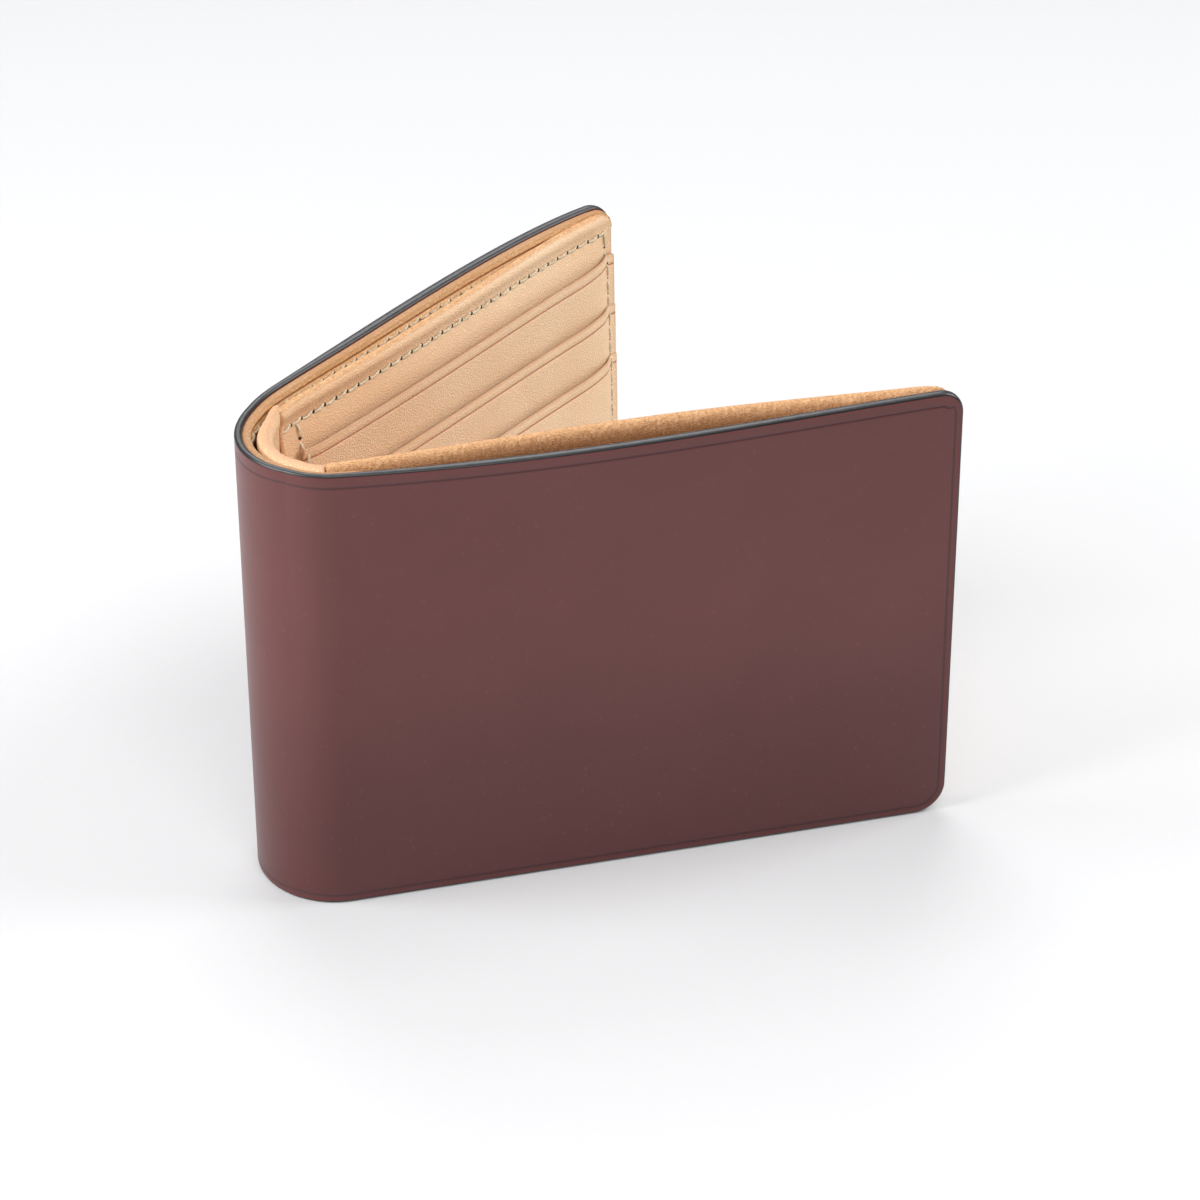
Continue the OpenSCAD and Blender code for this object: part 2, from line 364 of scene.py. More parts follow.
class Finish:
    """A material whose Principled shader is fed by wires."""

    def __init__(self, name, **constants):
        self.material = bpy.data.materials.new(name)
        self.material.use_nodes = True
        self.tree = self.material.node_tree
        self.shader = self.tree.nodes["Principled BSDF"]
        for key, value in constants.items():
            self.shader.inputs[key.replace("_", " ")].default_value = value
        self.place = self.node("ShaderNodeTexCoord", out="Object")

    def node(self, kind, settings=None, out=0, **values):
        return Wire(self.tree, add_node(self.tree, kind, settings, **values).outputs[out])

    def mark(self, name):
        """A number that skin() wrote on the points."""
        return self.node("ShaderNodeAttribute", {"attribute_name": name}, out="Fac")

    def noise(self, scale, detail=3.0, roughness=0.5, place=None, distortion=0.0):
        return self.node("ShaderNodeTexNoise", Vector=place or self.place, Scale=scale, Detail=detail,
                         Roughness=roughness, Distortion=distortion)

    def cells(self, scale):
        """0 on the borders between small cells, as between the pores of a skin."""
        return self.node("ShaderNodeTexVoronoi", {"feature": "DISTANCE_TO_EDGE"}, Vector=self.place,
                         Scale=scale)

    def stretched(self, x, y, z):
        return self.node("ShaderNodeMapping", Vector=self.place, Scale=(x, y, z))

    def mix(self, factor, a, b):
        """Colour a where the factor is 0 and b where it is 1. Sockets 6, 7 and 2 are the colours'."""
        return self.node("ShaderNodeMix", {"data_type": "RGBA"}, out=2, _0=factor, _6=a, _7=b)

    def finish(self, colour, roughness, height, distance):
        bump = self.node("ShaderNodeBump", Height=height, Distance=distance, Strength=1.0)
        for key, value in (("Base Color", colour), ("Roughness", roughness), ("Normal", bump)):
            feed(self.tree, self.shader.inputs[key], value)
        return self.material


# %% [markdown]
# The cover is smooth dyed calf. Its dye is uneven in large soft clouds, its grain is very
# fine, a hot crease runs round it just inside the edge, and the cut edge is painted black
# and polished. The painted edge is the same skin, so one tree holds both and switches on
# the distance from the edge. The crease has a second mark, line_mm, because it runs a little
# further from the top edge than from the others. Near the floor the colour is painted darker,
# as painted shade. The crest of the painted edge is painted grey, as a painted highlight, and
# its rounded borders near black, as painted shade.

# %% Cover leather
leather = Finish("cover_leather", IOR=1.42, Coat_Roughness=0.24, Coat_IOR=1.45)
edge = leather.mark("edge_mm")
clouds = leather.noise(14, 3, 0.55, distortion=0.4)
patches = leather.noise(70, 4, 0.6)
specks = leather.noise(900, 2, 0.6)
dye_and_shade = leather.mix(clouds.step(0.3, 0.72), (0.108, 0.029, 0.027), (0.126, 0.036, 0.034))
dye_and_shade = leather.mix(patches.step(0.35, 0.75) * 0.22, dye_and_shade, (0.095, 0.026, 0.025))
# painted shade: the colour is darker towards the floor, fading out about 5 cm up
height_up = leather.node("ShaderNodeSeparateXYZ", out="Z", Vector=leather.place)
dye_and_shade = leather.mix((1 - height_up.step(0.012, 0.052)) * 0.55, dye_and_shade, (0.062, 0.012, 0.012))
dye_and_shade = leather.mix(specks.step(0.62, 0.8) * 0.2, dye_and_shade, (0.20, 0.08, 0.075))
dye_and_shade = leather.mix(leather.mark("line_mm").line(1.5, 0.34) * 0.62, dye_and_shade, (0.040, 0.014, 0.016))
dye_and_shade = leather.mix((1 - edge.step(0.5, 1.1)) * 0.6, dye_and_shade, (0.13, 0.024, 0.021))
paint = 1 - edge.step(0.40, 0.52)
streaks = leather.noise(700, 2)
# painted highlight: the crest of the painted edge is grey with fine streaks, and painted shade makes its
# rounded borders near black
edge_paint_and_highlight = leather.mix(streaks.step(0.3, 0.7), (0.034, 0.035, 0.038), (0.050, 0.051, 0.054))
edge_paint_and_highlight = leather.mix(edge.step(0.04, 0.30), edge_paint_and_highlight, (0.008, 0.008, 0.009))
grain = leather.cells(1500) * 0.5 + leather.noise(2600, 3, 0.6) * 0.5
relief = grain * (1 - paint) + leather.noise(350, 2) * 0.6
roughness = 0.40 + patches * 0.10 - paint * 0.10
cover_finish = leather.finish(leather.mix(paint, dye_and_shade, edge_paint_and_highlight), roughness, relief, 0.03 * MM)
feed(leather.tree, leather.shader.inputs["Coat Weight"], 0.18 + paint * 0.14)
print("cover finish:", len(leather.tree.nodes), "nodes")

# %% [markdown]
# Inside, the leather is undyed: a pale natural calf with a visible grain. Its creases and
# the lips of the pockets have taken a reddish tan from the hot iron. Its flesh side is
# napped like suede, and the mark called nap says where that side shows. Separate materials
# on separate faces would give a hard border along the rolls, so one function makes both
# sides as one finish, in the tones of the different pieces. Near the spine the panels and
# pockets are painted darker and more orange, as painted shade, and the suede is painted
# darker away from the top of a roll, as painted shade in the gap behind the cover.


# %% Natural leather and suede
def natural(name, light, dark, grain_scale=1300, line_at=None, line_tone=(0.38, 0.11, 0.05),
            spine_shade=0.0):
    """Undyed leather. line_at is the distance from the mouth, in mm, of its crease, and the
    last argument is how strongly painted shade darkens it, towards orange, near the spine."""
    f = Finish(name, IOR=1.4)
    blotches = f.noise(45, 3, 0.5)
    pores = f.cells(grain_scale)
    fine = f.noise(grain_scale * 2.2, 3, 0.6)
    tone = f.mix(blotches.step(0.3, 0.72), dark, light)
    # painted shade: near the spine the leather is painted darker and more orange
    if spine_shade:
        from_spine = f.node("ShaderNodeSeparateXYZ", out="X", Vector=f.place)
        spine_shade_tone = tuple(c * share for c, share in zip(dark, (0.90, 0.76, 0.66)))
        tone = f.mix((1 - from_spine.step(0.012, 0.085)) * spine_shade, tone, spine_shade_tone)
    tone = f.mix((1 - pores.step(0.02, 0.22)) * 0.34, tone, tuple(c * 0.62 for c in dark))
    tone = f.mix((1 - f.mark("edge_mm").step(0.0, 0.5)) * 0.35, tone, line_tone)
    from_mouth = f.mark("mouth_mm")
    if line_at is not None:
        tone = f.mix(from_mouth.line(line_at, 0.26) * 0.85, tone, line_tone)
        tone = f.mix((1 - from_mouth.step(0.0, 0.5)) * 0.4, tone, line_tone)
    fuzz = f.noise(1900, 4, 0.7, place=f.stretched(1, 1, 0.45))
    tufts = f.noise(420, 3, 0.6)
    napped = f.mark("nap")
    suede = f.mix(fuzz.step(0.3, 0.75), (0.50, 0.25, 0.11), (0.82, 0.50, 0.27))
    suede = f.mix(tufts.step(0.35, 0.75) * 0.35, suede, (0.54, 0.28, 0.13))
    # painted shade: the suede is darker away from the top of a roll, deep in the gap behind the cover
    suede = f.mix(from_mouth.step(0.5, 3.2) * 0.45, suede, (0.40, 0.16, 0.06))
    tone = f.mix(napped, tone, suede)
    rough = 0.52 + fine * 0.14 + napped * 0.3
    relief = pores.step(0.0, 0.35) * 0.7 + fine * 0.5 + blotches * 0.5 + napped * (fuzz * 2.2 + tufts * 0.8)
    return f.finish(tone, rough, relief, 0.11 * MM)


pale_finish = natural("pale_leather", (0.93, 0.69, 0.47), (0.89, 0.62, 0.39), line_at=2.0,
                      grain_scale=2100, spine_shade=0.45)
panel_finish = natural("panel_leather", (0.93, 0.68, 0.45), (0.88, 0.60, 0.37),
                       grain_scale=2100, spine_shade=0.7)
facing_finish = natural("tan_leather", (0.88, 0.58, 0.31), (0.80, 0.48, 0.225), grain_scale=1000,
                        line_at=1.4, line_tone=(0.20, 0.055, 0.016))
band_finish = natural("band_leather", (0.84, 0.56, 0.34), (0.78, 0.48, 0.27), grain_scale=1500)
suede_finish = natural("suede_leather", (0.62, 0.38, 0.19), (0.50, 0.28, 0.12))
lining_finish = natural("lining_leather", (0.34, 0.17, 0.075), (0.24, 0.11, 0.045))
print("natural finishes:", [m.name for m in (pale_finish, panel_finish, facing_finish, band_finish,
                                             suede_finish, lining_finish)])

# %% [markdown]
# Thread is waxed linen: two strands twisted together, so its finish has fine slanted bands.
# The awl leaves a hole at each end of a stitch, drawn as a small flat pit whose dark colour
# is painted shade.

# %% Thread and awl holes
thread = Finish("thread")
strand = thread.noise(2400, 2, place=thread.stretched(1, 1, 2.2))
thread_finish = thread.finish(thread.mix(strand.step(0.35, 0.65), (0.50, 0.40, 0.26), (0.80, 0.72, 0.55)),
                              0.6 + strand * 0.1, strand, 0.08 * MM)
# painted shade: the pit's dark colour stands in for the shade inside the awl hole
awl = Finish("awl_hole_shade")
shade_mottle = awl.noise(1500, 2)
hole_shade_finish = awl.finish(awl.mix(shade_mottle, (0.020, 0.010, 0.005), (0.06, 0.03, 0.014)), 0.8 + shade_mottle * 0.1,
                        shade_mottle, 0.03 * MM)
print("thread and hole:", thread_finish.name, hole_shade_finish.name)

# %% [markdown]
# Cover, lining and facing each go from one free edge round the spine to the other. A skin
# can turn over one hinge only, so each layer is cut in the middle of every strip of the
# spine into six pieces that meet exactly, one for each hinge line.

# %% Rows of a layer that goes round the spine, and baking its pieces in place
FLAT_PITCH = 2.6 * MM
TURN_INSET = 0.75 * MM


def rows_of_piece(k, first, last, edge_rows):
    """Distances along piece k of a layer: its bend, and the leaf beyond where it has one."""
    on_front, on_back = k == 0 and first < 0, k == bends - 1 and last > spine_l
    low_rows = edge_rows if k == 0 and not on_front else CUT_ROWS
    high_rows = edge_rows if k == bends - 1 and not on_back else CUT_ROWS
    low = max(first, 0) if k == 0 else k * bend_l
    high = min(last, spine_l) if k == bends - 1 else (k + 1) * bend_l
    s = rows_between(low, high, low_rows, high_rows, bend_l / 12)
    if on_front:
        s = np.concatenate([rows_between(first, 0, edge_rows, CUT_ROWS, FLAT_PITCH)[:-1], s])
    if on_back:
        s = np.concatenate([s, rows_between(spine_l, last, CUT_ROWS, edge_rows, FLAT_PITCH)[1:]])
    return s


def turn_over_hinge(piece, k, inset=TURN_INSET):
    """Bakes the piece's placement into its mesh. The ends of its turn over hinge line k are worked out, but
    nothing makes it turn.
    """
    begin, stop = along(k * bend_l + inset)[0], along((k + 1) * bend_l - inset)[0]
    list(begin)
    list(stop)
    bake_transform(piece)


def free_ends(gap):
    """Where a layer starts and stops that ends this far inside the cover's free edges."""
    return -(leaf_l["front"] - gap), spine_l + leaf_l["back"] - gap


print("cover runs from and to, mm:", [round(v / MM, 1) for v in free_ends(0)])


# %% Layers that go round the spine
def follow_spine(stem, z0, z1, d0, d1, ends, r_low, r_high, edge_r, edge_rows, finish,
                 crease=0.0, turn_inset=TURN_INSET, shape=None, dip=0.0):
    """Six pieces of one layer. z0 and z1 are its heights, d0 and d1 its outer and inner
    depths, ends its two ends, r_low and r_high its corners and edge_r its domed edge. shape
    gives a layer its own section, and dip is how far its front end sinks."""
    first, last = ends
    z_rows = rows_between(z0, z1, edge_rows, edge_rows, FLAT_PITCH)
    made = []
    for k in range(bends):
        s, z = np.meshgrid(rows_of_piece(k, first, last, edge_rows), z_rows, indexing="ij")
        side_gap = s - first if k == 0 else last - s if k == bends - 1 else np.ones_like(s)
        low_gap, high_gap = z - z0, z1 - z
        e = np.minimum(side_gap, np.minimum(low_gap, high_gap))
        a, b = round_corner(side_gap, low_gap, r_low)
        a, c = round_corner(np.where(b < r_low, a, side_gap), high_gap, r_high) if r_high else (a, high_gap)
        z = np.where(high_gap < r_high, z1 - c, z0 + b)
        s = first + a if k == 0 else last - a if k == bends - 1 else s
        round_off = (d1 - d0) / 2 * (1 - dome(e, edge_r))
        near, far = d0 + round_off, d1 - round_off
        line = np.minimum(np.minimum(side_gap, low_gap), high_gap - crease_drop * smooth((z1 - z) / MM))
        near = near + crease * np.exp(-(((line - crease_in) / crease_half) ** 2))
        if shape:
            near, far = shape(near, far, s, z, e)
        z = z - dip * smooth((-s - 1 * MM) / (9 * MM)) * (z - z0) / (z1 - z0)
        marks = {"edge_mm": e / MM, "line_mm": line / MM, "mouth_mm": high_gap / MM, "nap": 0.0}
        piece = skin(f"{stem}_bend_{k + 1}", round_spine(s, near, z), round_spine(s, far, z), marks)
        piece.data.materials.append(finish)
        turn_over_hinge(piece, k, turn_inset)
        made.append(piece)
    print(stem, "pieces:", len(made), "faces:", sum(len(p.data.polygons) for p in made))
    return made


def stand_for_strips(pieces, stem):
    """Each piece stands for the two CAD strips that it spans."""
    names = [f"{stem}_front"] + [f"{stem}_spine_{i}" for i in range(1, bends)] + [f"{stem}_back"]
    for piece, a, b in zip(pieces, names, names[1:]):
        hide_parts(a, b)


# %% [markdown]
# The cover is the thickest layer that goes round the spine. Its crease is pressed in with a
# hot iron guided by the edge, so it keeps one distance from it, and lies further in only
# along the top. A boolean could cut it, but pushing the skin's rows in is cleaner, and the
# crease then goes round the bend by itself.

# %% Cover
crease_in, crease_half, crease_drop = 1.5 * MM, 0.17 * MM, 0.8 * MM
cover = follow_spine("cover", 0, cover_h, 0, cover_t, free_ends(0), 5.5 * MM, 4 * MM, 0.5 * MM,
                     EDGE_ROWS, cover_finish, crease=0.10 * MM)
stand_for_strips(cover, "cover")

# %% [markdown]
# The lining is thin, brown and flat, and hardly seen. It ends half a millimetre inside the
# cover's edge, so that the painted edge stays free of glue.

# %% Lining
lining = follow_spine("lining", lining_low, lining_high, cover_t, lining_in, free_ends(inset), 5 * MM, 0,
                      0.15 * MM, THIN_ROWS, lining_finish)
stand_for_strips(lining, "lining")


# %% [markdown]
# The facing is a tan strip that covers the lining's upper edge. A crease runs along it under
# a slightly lifted lip. On the front leaf it was glued on a little lower, so it dips there
# just past the spine. Its rows are the cover's at half the distance, as it is so narrow.

# %% Facing strip
def facing_shape(near, far, s, z, e):
    """The crease along the facing, and its slightly lifted upper lip."""
    drop = facing_high - z
    groove = 0.16 * MM * np.exp(-(((drop - 1.4 * MM) / (0.24 * MM)) ** 2))
    lip = 0.12 * MM * smooth(1 - drop / (1.2 * MM)) * smooth(e / (0.3 * MM))
    return near, far - groove + lip


facing = follow_spine("facing", facing_low, facing_high, cover_t, facing_in, free_ends(inset), 0, 3.5 * MM,
                      0.2 * MM, EDGE_ROWS * 0.5, facing_finish, shape=facing_shape,
                      dip=0.7 * MM)
stand_for_strips(facing, "facing")

# %% [markdown]
# The inside panels hang from the stitched ends and the band. Between the stitches the thin
# leather has some slack, so a pocket's mouth stands open in the middle of the leaf and is
# held shut at both ends. Cloth simulation would find such a shape by itself, but it is stiff
# leather with a known shape, so the slack is a function of the place on the leaf.

# %% Slack of the panels and pockets
panel_low, panel_high = panel_plate["front"][4:6]
pitch_z = mouths[0] - mouths[1]
top_row = panel_high - 4 * MM
edge_row_in, spine_row_in = 1.1 * MM, 1.7 * MM
slack = 2.3 * MM
panel_share = 0.45              # share of the slack that the panel has
held_share = 0.42               # share that a pocket loses from its mouth down to the next
print("pocket mouths at, mm:", [round(z / MM, 1) for z in mouths], "top row at", round(top_row / MM, 1))


def between_rows(side, u):
    """0 at the stitched free end, 1 where the leather hangs free, 0.7 at the spine end."""
    u0, u1 = panel_plate[side][:2]
    t = np.clip((u1 - edge_row_in - u) / (13 * MM), 0, 1)
    return (1 - (1 - t) ** 2.2) * (0.7 + 0.3 * smooth((u - u0) / (5 * MM)))


def pocket_slack(k, z):
    """How far the skin of pocket k stands out at height z; k = 0 is the panel."""
    if k == 0:
        t = np.clip((top_row - z) / (top_row - mouths[0]), 0, None)
        upper = panel_share * smooth(t)
        lower = panel_share * np.clip((z - panel_low) / (mouths[0] - panel_low), 0, 1)
        return slack * np.where(z > mouths[0], upper, lower)
    top = mouths[k - 1]
    if k == len(mouths):
        return slack * np.clip((z - panel_low) / (top - panel_low), 0, 1.05) ** 0.8
    down = mouths[k]
    upper = 1 - held_share * smooth(np.clip((top - z) / pitch_z, -0.1, 1))
    lower = (1 - held_share) * np.clip((z - panel_low) / (down - panel_low), 0, 1)
    return slack * np.where(z > down, upper, lower)


# %% [markdown]
# Near the free edge each sheet is skived to half its thickness, so that the edge of all of
# them together isn't too fat to sew, and the stitches draw them down. The panels reach a
# little past their plain plates: into the bend at the spine, where the back one turns
# inwards over the end of the band, and out at the free edge.

# %% Skived ends, and how far the panels reach
reach = {"front": 0.8 * MM, "back": 3.0 * MM}
free_extra = 0.7 * MM
roll_rise = {"front": 0.5 * MM, "back": -0.15 * MM}
turned_in = {"front": 0.0, "back": 0.6 * MM}
drawn_down = 1.0 * MM
for side in reach:
    print(side, "panel starts at, mm:", round(float(panel_plate[side][0] - reach[side]) / MM, 2))


def skived(side, u):
    """Share of its thickness that a sheet keeps near the free edge."""
    return 0.5 + 0.5 * smooth((panel_plate[side][1] - u) / (5 * MM))


def start_bend(side, u):
    """How far a panel's start turns inwards, over the end of the band."""
    return turned_in[side] * (1 - smooth((u - panel_plate[side][0] + reach[side]) / (5 * MM)))


# %% Grid of a leaf
ROLL_ROWS = np.array([0, 0.02, 0.06, 0.13, 0.23, 0.36, 0.52, 0.7, 0.9, 1.1, 1.35, 1.7, 2.1, 2.5, 2.9, 3.3,
                      3.6, 3.85, 4.1, 4.35, 4.6, 5.0, 5.6]) * MM
LIP_ROWS = np.array([0, 0.02, 0.06, 0.12, 0.2, 0.3, 0.45, 0.7, 1.0, 1.4, 1.7, 1.85, 1.95, 2.05, 2.15, 2.3,
                     2.6, 3.2]) * MM
FREE_ROWS = np.array([0, 0.02, 0.06, 0.12, 0.2, 0.3, 0.5, 0.8, 1.2, 1.5, 1.65, 1.8, 1.95, 2.1, 2.5, 3.2,
                      4.2, 5.4, 6.8]) * MM
LEAF_PITCH = 2.2 * MM
low_corner = 4.5 * MM


def leaf_grid(side, z_top, top_rows, r_high, extra=0.0):
    """A sheet on a leaf: distances along it, heights, and gaps from its edge and its top."""
    u0, u1 = panel_plate[side][0] - extra, panel_plate[side][1] + free_extra
    u = rows_between(u0, u1, FREE_ROWS, FREE_ROWS, LEAF_PITCH)
    z = rows_between(panel_low, z_top, THIN_ROWS, top_rows, LEAF_PITCH)
    u, z = np.meshgrid(u, z, indexing="ij")
    free, start, top, low = u1 - u, u - u0, z_top - z, z - panel_low
    e_side = np.minimum(np.minimum(free, start), low)
    a_high, c = round_corner(free, top, r_high)
    a_low, b = round_corner(free, low, low_corner)
    near_low = low < low_corner
    return u1 - np.where(near_low, a_low, a_high), np.where(near_low, panel_low + b, z_top - c), e_side, top


def leaf_piece(name, side, u, z, near, far, marks, finish, node):
    """The skin between two depths on a leaf, with its finish; it rides with the leaf."""
    put = on_leaf(side)
    piece = skin(name, put(u, near, z), put(u, far, z), marks)
    piece.data.materials.append(finish)
    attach(piece, f"{side}_leaf")
    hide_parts(node)
    return piece


# %% [markdown]
# A panel's upper edge is turned over a filler into a soft roll, and the row of stitches
# below it lies in a shallow groove. The backing behind it ends just under the roll. A
# pocket is a thinner sheet with a pressed line 2 mm below its mouth and a lip above that.
# The depths of the two faces are worked out on the grid, so the roll, the groove and the
# lip are all part of one skin and no seam shows.

# %% Panels, backings and pockets
panel_rear, panel_face = 0.05 * MM, 0.65 * MM
roll_swell, rear_swell = 0.62 * MM, 0.95 * MM


def inside_panel(side):
    u, z, e, top = leaf_grid(side, panel_high + roll_rise[side], ROLL_ROWS, 3.2 * MM, extra=reach[side])
    thin = skived(side, u)
    side_dome = dome(e, 0.3 * MM)
    body = dome(top, 1.25 * MM) * side_dome * thin
    swell_front = 1 - smooth((top - 1.2 * MM) / (2.0 * MM))
    swell_rear = 1 - smooth((top - 1.5 * MM) / (4.0 * MM))
    groove = 0.16 * MM * np.exp(-(((z - top_row) / (0.45 * MM)) ** 2)) * side_dome * smooth(e / (2 * MM))
    front = (panel_face + roll_swell * swell_front) * body - groove
    rear = (panel_rear + rear_swell * swell_rear) * body
    middle = (panel_plate[side][2] + panel_rear + pocket_slack(0, z) * between_rows(side, u)
              - panel_lean(side, u, z) + start_bend(side, u) - (1 - thin) * drawn_down)
    nap = (np.ones_like(u), 1 - smooth(top / (0.5 * MM)))
    marks = {"edge_mm": e / MM + 0.6, "mouth_mm": top / MM, "nap": nap}
    return leaf_piece(f"inside_panel_{side}", side, u, z, middle - rear, middle + front, marks,
                      panel_finish, f"panel_{side}")


def panel_backing(side):
    u, z, e, top = leaf_grid(side, panel_high - 4.2 * MM, THIN_ROWS, 2.6 * MM)
    d0, d1 = backing_plate[side][2:4]
    thin = skived(side, u)
    half = (d1 - d0) / 2 * dome(np.minimum(e, top), 0.25 * MM) * thin
    middle = d0 + (d1 - d0) / 2 - panel_lean(side, u, z) - (1 - thin) * 0.6 * MM
    # mouth_mm 9 gives the backing's suede the full painted shade of the gap
    marks = {"edge_mm": e / MM + 0.6, "mouth_mm": 9.0, "nap": 1.0}
    return leaf_piece(f"panel_backing_{side}", side, u, z, middle - half, middle + half * 0.9, marks,
                      suede_finish, f"backing_{side}")


def card_pocket(side, k):
    u, z, e, top = leaf_grid(side, mouths[k - 1], LIP_ROWS, 0.6 * MM, extra=-0.8 * MM)
    d0, d1 = pocket_depths[k - 1]
    base = panel_plate[side][3]
    thin = skived(side, u)
    free = between_rows(side, u)
    border = dome(np.minimum(e, top), 0.22 * MM)
    lip = 0.16 * MM * (1 - smooth((top - 0.9 * MM) / (0.9 * MM)))
    pressed = 0.10 * MM * np.exp(-(((top - 2.0 * MM) / (0.2 * MM)) ** 2))
    half = (d1 - d0) / 2
    middle = (base + (d0 + half - base) * thin + pocket_slack(k, z) * free
              - panel_lean(side, u, z) - (1 - thin) * drawn_down)
    marks = {"edge_mm": e / MM, "mouth_mm": top / MM, "nap": (1.0, 0.0)}
    return leaf_piece(f"card_pocket_{side}_{k}", side, u, z, middle - half * border,
                      middle + (half + lip * free - pressed) * border, marks,
                      pale_finish, f"pocket_{side}_{k}")


for side in leaf_start:
    made = [inside_panel(side), panel_backing(side)] + [card_pocket(side, k) for k in (1, 2, 3)]
    print(side, "leaf:", [piece.name for piece in made])

# %% [markdown]
# The band is a folded strip that joins the two panels round the inside of the spine. It is
# made like the layers of the cover, in six pieces, with a full roll along its top, a
# slimmer skirt with faint waves below, and its back end tucked behind the back panel.

# %% Hinge band
def band_depth():
    """The band's outer depth, from how far left its box reaches."""
    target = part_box("hinge_band")[0].x
    point, heading = along(np.linspace(0, spine_l, 400))
    depths = np.linspace(2 * MM, 6 * MM, 60)
    leftmost = [(point + d * toward(heading - math.pi / 2))[:, 0].min() for d in depths]
    return float(np.interp(target, leftmost, depths))


band_out = band_depth() + 0.85 * MM
band_t = 2.6 * MM
band_low, band_high = (v.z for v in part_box("hinge_band"))
band_start = reach["front"] - panel_plate["front"][0] + 0.3 * MM
band_stop = spine_l + panel_plate["back"][0] - reach["back"] + 0.8 * MM


def band_shape(near, far, s, z, e):
    """A round roll at the top, with a slimmer skirt below it."""
    top = band_high - z
    ends = dome(np.minimum(s - band_start, band_stop - s), 0.5 * MM)
    tuck = smooth((s - band_stop + 6 * MM) / (6 * MM))
    skirt = (1 - 0.3 * smooth((top - 1.3 * MM) / (2.2 * MM))) * (1 - 0.2 * tuck)
    half = band_t / 2 * dome(top, band_t / 2) * ends * dome(z - band_low, 0.3 * MM) * skirt
    middle = band_out + band_t / 2 - 0.9 * MM * tuck
    wave = 0.10 * MM * np.sin(s / (2.1 * MM)) * smooth((top - 1 * MM) / (4 * MM)) * ends
    return middle - half, middle + half + wave


band = follow_spine("hinge_band", band_low, band_high, band_out, band_out + band_t,
                    (band_start, band_stop), 0, 0, 0.3 * MM, ROLL_ROWS, band_finish,
                    turn_inset=1.6 * MM, shape=band_shape)
for piece in band:
    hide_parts("hinge_band")

# %% [markdown]
# Stitches repeat along a path, which is what Geometry Nodes are for. The path is a chain of
# edges that carries the direction away from the leather. The tree sets a short arched
# thread on every step of the path and, between two threads, a flat pit for the awl hole
# that carries the hole's painted shade, with a little seeded unevenness, and turns them into
# one real mesh. An array modifier would repeat the threads too, but it can't make each one a
# little uneven.

